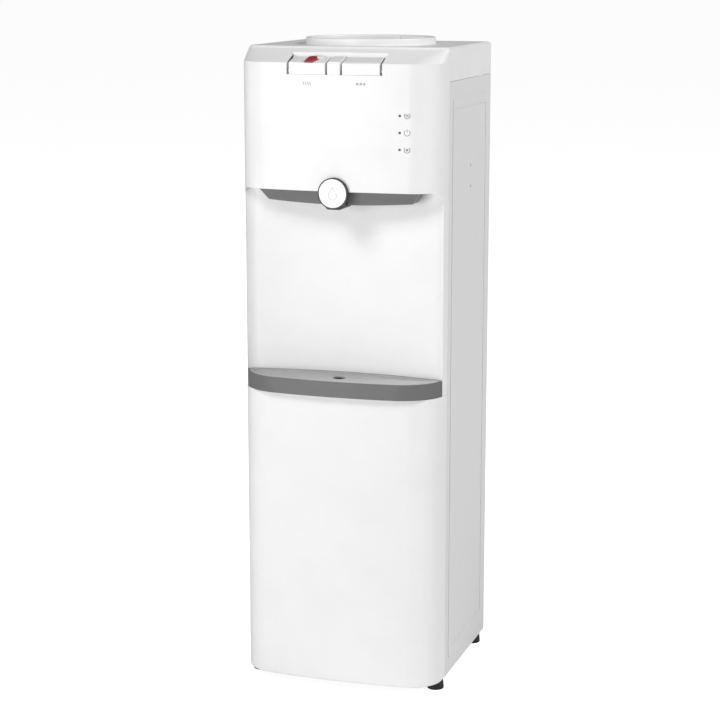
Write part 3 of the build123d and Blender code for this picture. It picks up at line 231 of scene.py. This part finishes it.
# %% Bare metals
def drawn_metal(name, darker, lighter, gloss, lines, line_depth_mm):
    """Metal with drawing lines, stretched along the lines' axis, and patches of tarnish."""
    tree, place = start_finish(name)
    stains = {"Scale": 1 / (18 * MM), "Detail": 5, "Roughness": 0.6}
    patches = add_node(tree, "ShaderNodeTexNoise", {"Vector": place}, stains)
    span = [(0.3, darker), (0.7, lighter)]
    colour = add_node(tree, "ShaderNodeValToRGB", {"Fac": patches}, stops=span)
    stretch = {"Scale": [1 / length for length in lines]}
    along = add_node(tree, "ShaderNodeMapping", {"Vector": place}, stretch)
    drawn = {"Scale": 1 / (0.4 * MM), "Detail": 3, "Roughness": 0.5}
    scratches = add_node(tree, "ShaderNodeTexNoise", {"Vector": along}, drawn)
    limits = {**NOISE_MIDDLE, "To Min": gloss - 0.05, "To Max": gloss + 0.08}
    rough = add_node(tree, "ShaderNodeMapRange", {"Value": scratches}, limits)
    end_finish(tree, colour, rough, scratches, line_depth_mm, Metallic=1.0)


drawn_metal("stainless_steel", "#c4c4c2", "#d6d6d4", 0.26, (40, 40, 1), 0.004)
drawn_metal("spring_steel", "#8e8e8c", "#b0b0ae", 0.28, (1, 1, 12), 0.003)
drawn_metal("copper_tube", "#b06a48", "#d08a64", 0.30, (12, 12, 1), 0.004)
print("finishes so far:", len(FINISHES))

# %% [markdown]
# ## Rubber, silicone and foam
#
# The feet are black rubber, dull and slightly pitted. The water tubes are silicone, milky and
# soft. The cold tank sits in white foam. All three have small cells or pits, so one function with
# a Voronoi pattern makes them.

# %% Rubber, silicone and foam
def soft_solid(name, darker, lighter, gloss, pit_mm, pit_depth_mm, **surface):
    """Rubber, silicone or foam: dull, with pits or cells."""
    tree, place = start_finish(name)
    pits = {"Scale": 1 / (pit_mm * MM)}
    cells = add_node(tree, "ShaderNodeTexVoronoi", {"Vector": place}, pits)
    cloudy = {"Scale": 1 / (9 * MM), "Detail": 4, "Roughness": 0.5}
    tint = add_node(tree, "ShaderNodeTexNoise", {"Vector": place}, cloudy)
    span = [(0.3, darker), (0.7, lighter)]
    colour = add_node(tree, "ShaderNodeValToRGB", {"Fac": tint}, stops=span)
    limits = {**NOISE_MIDDLE, "To Min": gloss - 0.05, "To Max": gloss + 0.05}
    rough = add_node(tree, "ShaderNodeMapRange", {"Value": tint}, limits)
    end_finish(tree, colour, rough, cells, pit_depth_mm, **surface)


MILKY = {"IOR": 1.41, "Transmission Weight": 0.3}
soft_solid("black_rubber", "#151515", "#1f1f1f", 0.62, 0.8, 0.05, IOR=1.52)
soft_solid("silicone_tube", "#dfe2e2", "#eceeee", 0.4, 2.0, 0.01, **MILKY)
soft_solid("white_foam", "#e9e6da", "#f3f1e8", 0.8, 3.0, 0.5, IOR=1.45)
print("finishes so far:", len(FINISHES))

# %% [markdown]
# ## Smoked lens
#
# The lamps hide behind acrylic smoked so dark that they only show when lit. It is glossy, with
# the faintest mottle.

# %% Smoked lens
tree, place = start_finish("smoked_lens")
mottle = {"Scale": 1 / (0.6 * MM), "Detail": 2, "Roughness": 0.5}
smoke = add_node(tree, "ShaderNodeTexNoise", {"Vector": place}, mottle)
acrylic = [(0.3, "#101214"), (0.7, "#1d2023")]
colour = add_node(tree, "ShaderNodeValToRGB", {"Fac": smoke}, stops=acrylic)
wear = {"Scale": 1 / (0.8 * MM), "Detail": 2, "Roughness": 0.5}
worn = add_node(tree, "ShaderNodeTexNoise", {"Vector": place}, wear)
limits = {**NOISE_MIDDLE, "To Min": 0.08, "To Max": 0.16}
rough = add_node(tree, "ShaderNodeMapRange", {"Value": worn}, limits)
end_finish(tree, colour, rough, None, 0, IOR=1.49)

# %% [markdown]
# ## Circuit board
#
# The lamp board is green solder mask over copper tracks. A Brick pattern of long, thin rows
# stands in for the tracks, and its mortar for the lighter mask over the copper.

# %% Circuit board
tree, place = start_finish("circuit_board")
rows = {"Scale": 1 / (4 * MM), "Mortar Size": 0.06, "Brick Width": 1.6, "Row Height": 0.5}
mask = {"Color1": "#1e5a33", "Color2": "#23633a", "Mortar": "#3a7a4a"}
rows.update({part: linear(colour) for part, colour in mask.items()})
tracks = add_node(tree, "ShaderNodeTexBrick", {"Vector": place}, rows)
flux = {"Scale": 1 / (2 * MM), "Detail": 2, "Roughness": 0.5}
stains = add_node(tree, "ShaderNodeTexNoise", {"Vector": place}, flux)
limits = {**NOISE_MIDDLE, "To Min": 0.25, "To Max": 0.35}
rough = add_node(tree, "ShaderNodeMapRange", {"Value": stains}, limits)
end_finish(tree, tracks, rough, tracks.outputs["Fac"], 0.03, IOR=1.5)

# %% [markdown]
# ## Glass wool
#
# The hot tank is wrapped in yellow glass wool. Its matted fibres are a rough noise stretched
# eight times across, raised by more than a millimetre.

# %% Glass wool
tree, place = start_finish("glass_wool")
matted = {"Scale": (1 / 8, 1 / 8, 1)}
across = add_node(tree, "ShaderNodeMapping", {"Vector": place}, matted)
strands = {"Scale": 1 / (1.5 * MM), "Detail": 8, "Roughness": 0.75}
fibres = add_node(tree, "ShaderNodeTexNoise", {"Vector": across}, strands)
yellow = [(0.3, "#b7a254"), (0.7, "#e8d78e")]
colour = add_node(tree, "ShaderNodeValToRGB", {"Fac": fibres}, stops=yellow)
end_finish(tree, colour, None, fibres, 1.2, Roughness=0.95)
print("finishes:", len(FINISHES))

# %% [markdown]
# ## Finishes on the CAD pieces
#
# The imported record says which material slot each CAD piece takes. The finishes above have the
# slots' names, so one loop dresses the whole model.

# %% Dress the CAD pieces
for part in frame["record"]["subparts"]:
    slots = NODES[part["node"]].data.materials
    slots.clear()
    slots.append(FINISHES[part["material_slot"]])

# %% [markdown]
# ## Printed marks
#
# The little symbols beside the lamps and under the buttons are pad printed: ink that follows the
# bowed front. Each one is drawn as a curve with a round bevel, because a curve gives a line of
# even width round any bend. It is then made a mesh, laid on the CAD surface behind it with a ray
# for each vertex, and pressed almost flat. Real ink is some hundredths of a millimetre thick. It
# is drawn a tenth of a millimetre proud, so that it stays clear of the panel's facets.

# %% Ink and strokes
INK_RISE = 0.10 * MM
INK_WIDTH = 0.8 * MM
RAY_START = -1.0

moulded_plastic("grey_ink", "#5e5e5e", "#646464", 0.5, 0.3, 0.001)


def circle_stroke(radius, start, end, steps=40):
    """Points in mm along an arc, in degrees from the right, anticlockwise."""
    angles = [math.radians(start + (end - start) * i / steps) for i in range(steps + 1)]
    return [(radius * math.cos(a), radius * math.sin(a)) for a in angles]


def wave_stroke(x, low, high, sway=0.45, steps=16):
    """Points in mm along one rising curl of steam."""
    shares = [i / steps for i in range(steps + 1)]
    return [(x + sway * math.sin(2 * math.pi * t), low + (high - low) * t) for t in shares]


def star_strokes(reach, barb):
    """Six arms of a snow crystal, each with a pair of barbs, in mm."""
    strokes = []
    for arm in range(6):
        turned = math.radians(30 + 60 * arm)
        tip = (reach * math.cos(turned), reach * math.sin(turned))
        fork = (0.6 * tip[0], 0.6 * tip[1])
        strokes.append([(0, 0), tip])
        for side in (-1, 1):
            lean = turned + side * math.radians(50)
            end = (fork[0] + barb * math.cos(lean), fork[1] + barb * math.sin(lean))
            strokes.append([fork, end])
    return strokes


# %% [markdown]
# ## From a shape to a piece
#
# Every new piece ends the same way. Its place moves into its mesh, it takes its finish, and it is
# told which body carries it, so that it travels with a joint.

# %% Finishing and printing functions
def clear_selection():
    bpy.ops.object.select_all(action="DESELECT")


def finish_piece(piece, name, body, finish):
    """Names a piece, moves its place into its mesh, and gives it its finish and its body."""
    clear_selection()
    piece.select_set(True)
    bpy.context.view_layer.objects.active = piece
    bpy.ops.object.transform_apply(location=True, rotation=True, scale=True)
    piece.name = name
    piece.data.name = name
    piece.data.materials.clear()
    piece.data.materials.append(FINISHES[finish])
    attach(piece, body)
    return piece


def print_mark(name, strokes, x, z, behind, width=INK_WIDTH):
    """Prints strokes, in mm round (x, z), on the front of the CAD piece called behind."""
    clear_selection()
    bpy.ops.curve.primitive_bezier_curve_add(location=(0, 0, 0))
    drawn = bpy.context.object.data
    drawn.splines.clear()
    drawn.dimensions = "3D"
    drawn.bevel_depth = width / 2
    drawn.bevel_resolution = 2
    drawn.use_fill_caps = True
    for stroke in strokes:
        line = drawn.splines.new("POLY")
        closed = (Vector(stroke[0]) - Vector(stroke[-1])).length < 1e-6
        points = stroke[:-1] if closed else stroke
        line.points.add(len(points) - 1)
        line.use_cyclic_u = closed
        for point, (px, pz) in zip(line.points, points):
            point.co = (x + px * MM, 0, z + pz * MM, 1)
    bpy.ops.object.convert(target="MESH")
    mark = bpy.context.object
    flatten = 2 * INK_RISE / width
    for vertex in mark.data.vertices:
        start = (vertex.co.x, RAY_START, vertex.co.z)
        found, hit, _, _ = NODES[behind].ray_cast(start, (0, 1, 0))
        if not found:
            raise ValueError(name + " misses " + behind)
        vertex.co.y = hit.y + vertex.co.y * flatten
    return finish_piece(mark, name, "cabinet", "grey_ink")


# %% [markdown]
# ## Marks beside the lamps
#
# Three small rings stand to the right of the three lamps: heating, power and cooling. The
# heating and cooling rings are open at the top, with steam or a crystal inside, and the power
# ring has the usual bar. All three are drawn from arcs and short strokes.

# %% Marks beside the lamps
LENS_LOW, LENS_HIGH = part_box("led_lenses")
MARK_INSET = 1.5 * MM
MARK_GAP = 9.0 * MM
RING = 4.2
OPEN_RING = circle_stroke(RING, 130, 410)
LAMP_LEVELS = [
    LENS_HIGH.z - MARK_INSET,
    (LENS_LOW.z + LENS_HIGH.z) / 2,
    LENS_LOW.z + MARK_INSET,
]

heat_strokes = [OPEN_RING] + [wave_stroke(dx, -1.9, 1.9) for dx in (-1.6, 0, 1.6)]
power_strokes = [circle_stroke(RING, 125, 415), [(0, 0.4), (0, RING + 0.9)]]
cool_strokes = [OPEN_RING] + star_strokes(2.3, 0.0)[::3]
LAMP_MARKS = {
    "heating_mark": heat_strokes,
    "power_mark": power_strokes,
    "cooling_mark": cool_strokes,
}
for (name, strokes), level in zip(LAMP_MARKS.items(), LAMP_LEVELS):
    print_mark(name, strokes, LENS_HIGH.x + MARK_GAP, level, "upper_front_panel")
print("lamp marks:", len(LAMP_MARKS), "rings across, mm:", 2 * RING)

# %% [markdown]
# ## Marks under the buttons
#
# Rising steam stands under the hot button and a row of snow crystals under the cold one. They are
# thinner than the lamps' marks, since they are smaller and closer together.

# %% Marks under the buttons
BUTTON_LOW, BUTTON_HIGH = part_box("hot_button")
MARK_DROP = 12.6 * MM
MARK_Z = BUTTON_LOW.z - MARK_DROP
BUTTON_MIDDLE = (BUTTON_LOW.x + BUTTON_HIGH.x) / 2
STEAM_WIDTH = 0.7 * MM
SNOW_WIDTH = 0.4 * MM

steam = [wave_stroke(dx, -2.2, 2.2, sway=0.6) for dx in (-5.1, -1.7, 1.7, 5.1)]
snow = [
    [(px + dx, pz) for px, pz in stroke]
    for dx in (-5.2, 0, 5.2)
    for stroke in star_strokes(2.2, 0.7)
]
print_mark("steam_mark", steam, BUTTON_MIDDLE, MARK_Z, "upper_front_panel", STEAM_WIDTH)
print_mark("snow_mark", snow, -BUTTON_MIDDLE, MARK_Z, "upper_front_panel", SNOW_WIDTH)

# %% [markdown]
# ## The drop on the round cap
#
# The cap above the taps carries the outline of a water drop. Its belly is most of a circle, and
# each flank runs up to the tip along a power curve, so that it leaves the belly without a kink.

# %% Drop on the round cap
CAP_LOW, CAP_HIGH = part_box("spout_cap")
DROP_ROUND = 6.3
DROP_TIP = 12.6
DROP_LOWERED = 3.0 * MM
DROP_WIDTH = 0.6 * MM
FLANK_CURVE = 1.35

belly = circle_stroke(DROP_ROUND, -205, 25, steps=48)
foot_x, foot_z = belly[-1]
flank = [
    (foot_x * (1 - t) ** FLANK_CURVE, foot_z + (DROP_TIP - foot_z) * t)
    for t in (0.15, 0.3, 0.45, 0.6, 0.75, 0.9, 1.0)
]
other_flank = [(-px, pz) for px, pz in flank[-2::-1]]
drop = belly + flank + other_flank + belly[:1]
DROP_Z = (CAP_LOW.z + CAP_HIGH.z) / 2 - DROP_LOWERED
print_mark("drop_mark", [drop], 0, DROP_Z, "spout_cap", DROP_WIDTH)

# %% [markdown]
# ## Ribbed button tops
#
# A wet finger slips on smooth plastic, so the tops of the buttons and of the block between them
# are moulded with fine ribs across. One rib is a slim half-sunk rod with bevelled ends. An Array
# modifier repeats it down the slope, which is how the toolmaker spaces them too. They are 1.7 mm
# apart, drawn coarse enough to show.

# %% Ribs
RIB_PITCH = 1.7 * MM
RIB_RADIUS = 0.42 * MM
RIB_FLATTENED = 0.7
RIB_BEVEL = 0.15 * MM
RIB_COUNT = 12
RIB_START = -141.0 * MM
TOP_SLOPE = math.radians(16.2)
ABOVE_ALL = 2.0
ROUND_UP_TO = math.radians(50)


def one_rib(low_x, high_x, ground):
    """The front rib from low_x to high_x, half sunk in the CAD piece called ground."""
    middle = (low_x + high_x) / 2
    _, hit, _, _ = NODES[ground].ray_cast((middle, RIB_START, ABOVE_ALL), (0, 0, -1))
    clear_selection()
    bpy.ops.mesh.primitive_cylinder_add(
        vertices=12,
        radius=RIB_RADIUS,
        depth=high_x - low_x,
        location=(middle, RIB_START, hit.z),
        rotation=(0, math.radians(90), 0),
    )
    rib = bpy.context.object
    bpy.ops.object.mode_set(mode="EDIT")
    bpy.ops.mesh.select_all(action="SELECT")
    bpy.ops.transform.resize(value=(1, 1, RIB_FLATTENED))
    bpy.ops.mesh.select_all(action="DESELECT")
    edit = bmesh.from_edit_mesh(rib.data)
    for face in edit.faces:
        face.select = len(face.verts) > 4
    edit.select_flush_mode()
    bmesh.update_edit_mesh(rib.data)
    bpy.ops.mesh.bevel(offset=RIB_BEVEL, segments=2, affect="EDGES")
    bpy.ops.object.mode_set(mode="OBJECT")
    bpy.ops.object.transform_apply(location=True, rotation=True, scale=True)
    return rib


def ribbed_top(name, body, ground, spans):
    """Ribs over the sloping top of a CAD piece, between the low and high x of each span."""
    rows = []
    for low_x, high_x in spans:
        rib = one_rib(low_x, high_x, ground)
        repeat = rib.modifiers.new("repeat", "ARRAY")
        repeat.count = RIB_COUNT
        repeat.use_relative_offset = False
        repeat.use_constant_offset = True
        repeat.constant_offset_displace = (0, RIB_PITCH, RIB_PITCH * math.tan(TOP_SLOPE))
        bpy.ops.object.modifier_apply(modifier=repeat.name)
        bpy.ops.object.shade_smooth_by_angle(angle=ROUND_UP_TO)
        rows.append(rib)
    clear_selection()
    for row in rows:
        row.select_set(True)
    bpy.context.view_layer.objects.active = rows[0]
    if len(rows) > 1:
        bpy.ops.object.join()
    return finish_piece(bpy.context.object, name, body, "rib_painted_shade_abs")


# %% [markdown]
# ## Where the ribs run
#
# The hot button has ribs on both sides of the child lock, clear of the lock's whole travel. The
# cold button and the block between them are ribbed right across, short of their edges.

# %% Ribs on the three tops
# The ribs' light grey is painted shade: it darkens the white ABS to stand in for the shadow that
# falls between the ribs.
moulded_plastic("rib_painted_shade_abs", "#d2d2d2", "#d6d6d6", 0.42, 0.5, 0.006)
EDGE = 1.2 * MM
LATCH_TRAVEL = 6.0 * MM
LATCH_LOW, LATCH_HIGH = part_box("child_lock_latch")
COLD_LOW, COLD_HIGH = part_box("cold_button")
DIVIDER_LOW, DIVIDER_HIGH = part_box("button_divider")

hot_spans = [
    (BUTTON_LOW.x + EDGE, LATCH_LOW.x - EDGE),
    (LATCH_HIGH.x + LATCH_TRAVEL + EDGE, BUTTON_HIGH.x - EDGE),
]
cold_spans = [(COLD_LOW.x + EDGE, COLD_HIGH.x - EDGE)]
divider_spans = [(DIVIDER_LOW.x + EDGE, DIVIDER_HIGH.x - EDGE)]
ribbed_top("hot_button_ribs", "hot_button", "hot_button", hot_spans)
ribbed_top("cold_button_ribs", "cold_button", "cold_button", cold_spans)
ribbed_top("divider_ribs", "cabinet", "button_divider", divider_spans)
print("ribs on the cold button:", RIB_COUNT, "every", round(RIB_PITCH / MM, 2), "mm")

# %% [markdown]
# ## The studio
#
# Catalogue pictures of white goods are lit from all sides, with the front a little brighter than
# the side and the top, so that the edges read. A broad soft light stands low in front, a second
# one higher up darkens what the fascia overhangs, and a third picks out the pressed frame of the
# side panel. A pale floor runs out of view on every side and glows a little, so that it stays
# white. Light linking keeps that glow on the floor itself: white goods lit from below look wrong.

# %% Floor and sky
FLOOR_HALF = 90.0
FLOOR_GLOW = 0.85
SKY = 0.14

bpy.ops.mesh.primitive_plane_add(size=2 * FLOOR_HALF, location=(0, 0, 0))
floor = bpy.context.object
floor.name = "floor"
tree, place = start_finish("pale_floor")
fibre = {"Scale": 1 / (400 * MM), "Detail": 2, "Roughness": 0.5}
paper = add_node(tree, "ShaderNodeTexNoise", {"Vector": place}, fibre)
off_white = [(0.3, "#f0f0f0"), (0.7, "#f3f3f3")]
colour = add_node(tree, "ShaderNodeValToRGB", {"Fac": paper}, stops=off_white)
glow = {"Emission Color": linear("#ffffff"), "Emission Strength": FLOOR_GLOW}
end_finish(tree, colour, None, None, 0, Roughness=0.9, **glow)
floor.data.materials.append(FINISHES["pale_floor"])
floor_only = bpy.data.collections.new("floor_only")
floor_only.objects.link(floor)
floor.light_linking.receiver_collection = floor_only

world = bpy.data.worlds.new("studio")
bpy.context.scene.world = world
world.use_nodes = True
world.node_tree.nodes["Background"].inputs["Color"].default_value = linear("#ffffff")
world.node_tree.nodes["Background"].inputs["Strength"].default_value = SKY
print("floor glow:", FLOOR_GLOW, "sky:", SKY)


# %% Soft lights
def soft_light(name, place, aim, width, watts):
    """A square softbox at place, turned to aim."""
    bpy.ops.object.light_add(type="AREA", location=place)
    light = bpy.context.object
    light.name = name
    light.data.shape = "SQUARE"
    light.data.size = width
    light.data.energy = watts
    light.rotation_euler = (Vector(aim) - Vector(place)).to_track_quat("-Z", "Y").to_euler()


soft_light("front_light", (-1.3, -4.0, 0.5), (0, 0, 0.45), 2.2, 90)
soft_light("upper_light", (-1.0, -2.9, 3.2), (0, 0, 0.6), 1.2, 56)
soft_light("side_light", (3.3, 0.5, 2.9), (0, 0, 0.6), 0.9, 96)
bpy.context.scene.view_settings.view_transform = "Standard"
